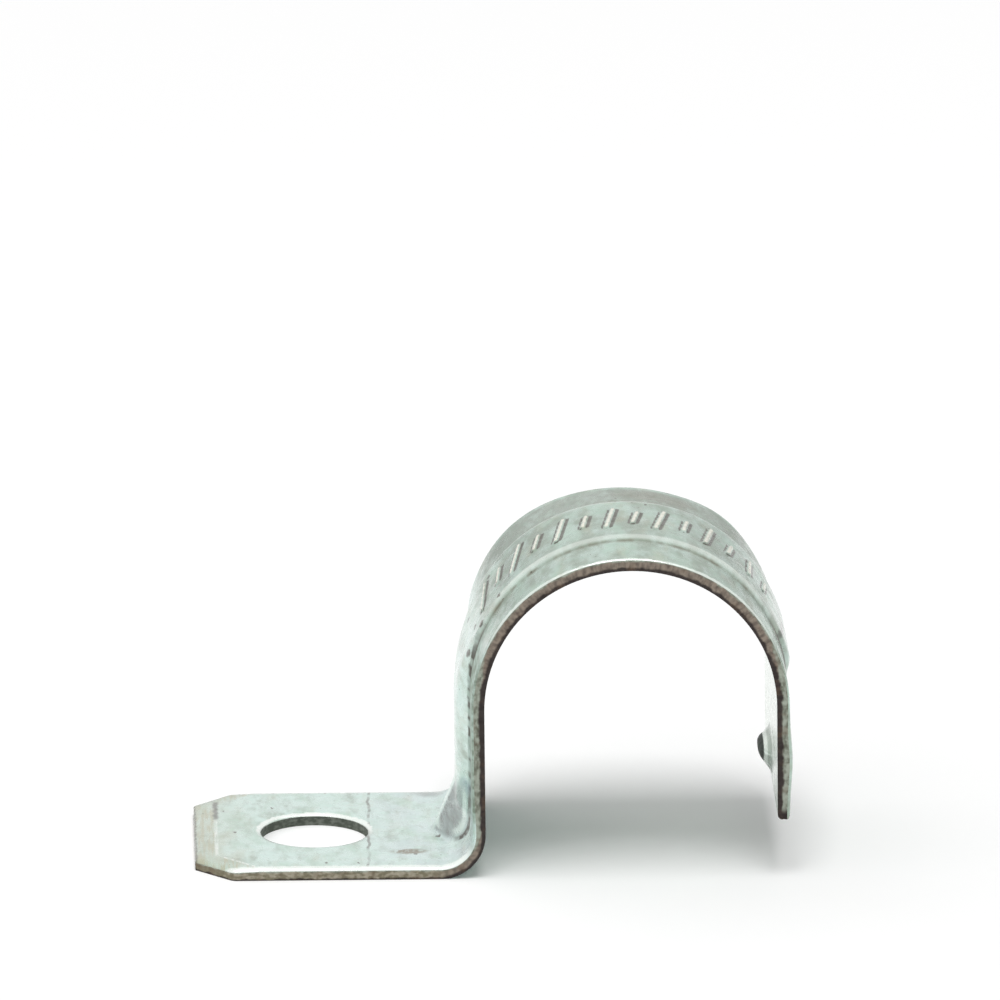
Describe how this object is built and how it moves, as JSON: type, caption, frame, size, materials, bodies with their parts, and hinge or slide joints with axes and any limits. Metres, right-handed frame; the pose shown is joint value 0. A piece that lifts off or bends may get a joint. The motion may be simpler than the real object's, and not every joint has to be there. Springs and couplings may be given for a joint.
{
  "type": "conduit strap",
  "caption": "Pressed steel strap that snaps over a conduit and is held to a wall by one screw through its flat foot.",
  "frame": {"origin": "centre of the screw hole on the wall plane, which is the underside of the foot", "axes": "+X from the foot towards the conduit, +Y along the conduit, +Z away from the wall"},
  "size_m": [0.0372, 0.016, 0.021],
  "materials": {
    "zinc_steel": "pale zinc plating, dull satin, with bare rusty edges where the sheet was sheared after plating"
  },
  "bodies": {
    "root": {"strap": "zinc_steel"}
  },
  "joints": []
}
